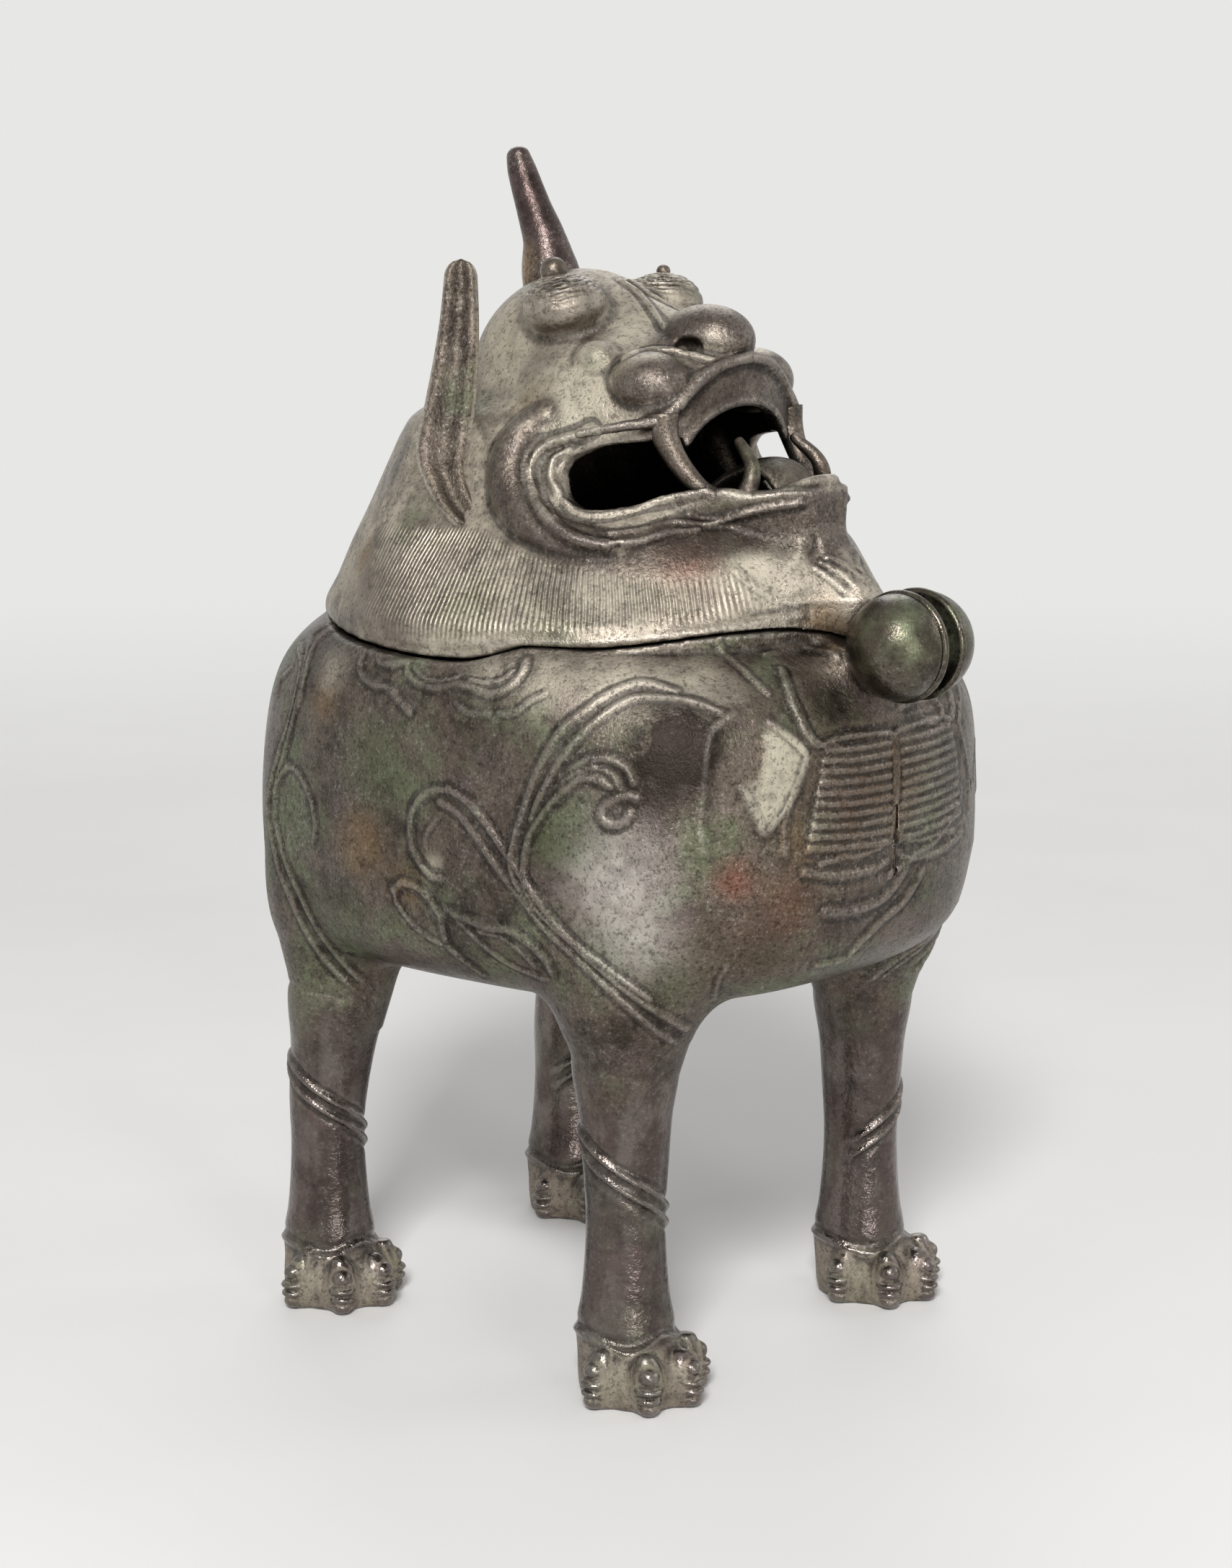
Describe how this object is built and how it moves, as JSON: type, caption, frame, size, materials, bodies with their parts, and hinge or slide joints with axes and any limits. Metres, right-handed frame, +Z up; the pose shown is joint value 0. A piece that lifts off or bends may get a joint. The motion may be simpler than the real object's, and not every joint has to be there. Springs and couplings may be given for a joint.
{
  "type": "lion-shaped incense burner",
  "caption": "Cast-bronze standing beast censer; its hollow horned head is the lid and swings forward on a pin hidden in the bell at its chest.",
  "frame": {"origin": "on the ground, midway between the four paws, under the middle of the object's box", "axes": "+Z up, -Y the way the animal faces, +X its left side"},
  "size_m": [0.1642, 0.2368, 0.3306],
  "materials": {
    "patinated_bronze": "matt brown bronze with green patina",
    "dark_bronze": "dark pitted bronze with dust in the hollows",
    "dusty_bronze": "dark bronze under pale dust",
    "worn_bronze": "brown-purple bronze rubbed glossy by hands"
  },
  "bodies": {
    "vessel": {"body_bowl": "patinated_bronze", "tail": "dark_bronze", "leg_front_right": "worn_bronze", "leg_front_left": "worn_bronze", "leg_rear_right": "worn_bronze", "leg_rear_left": "worn_bronze", "bell_half_right": "worn_bronze", "bell_half_left": "worn_bronze", "hinge_pin": "worn_bronze"},
    "head": {"hinge_tongue": "dark_bronze", "head_shell": "dusty_bronze", "horn": "worn_bronze", "tongue": "dark_bronze", "ear_right": "dark_bronze", "ear_left": "dark_bronze", "eye_stud_right": "worn_bronze", "eye_stud_left": "worn_bronze", "fang_right": "worn_bronze", "fang_left": "worn_bronze", "front_tooth_right": "worn_bronze", "front_tooth_left": "worn_bronze"}
  },
  "joints": [
    {"name": "lid_hinge", "type": "hinge", "parent": "vessel", "child": "head", "pos_m": [0, -0.104, 0.201], "axis": [1, 0, 0], "range_deg": [0, 100]}
  ]
}
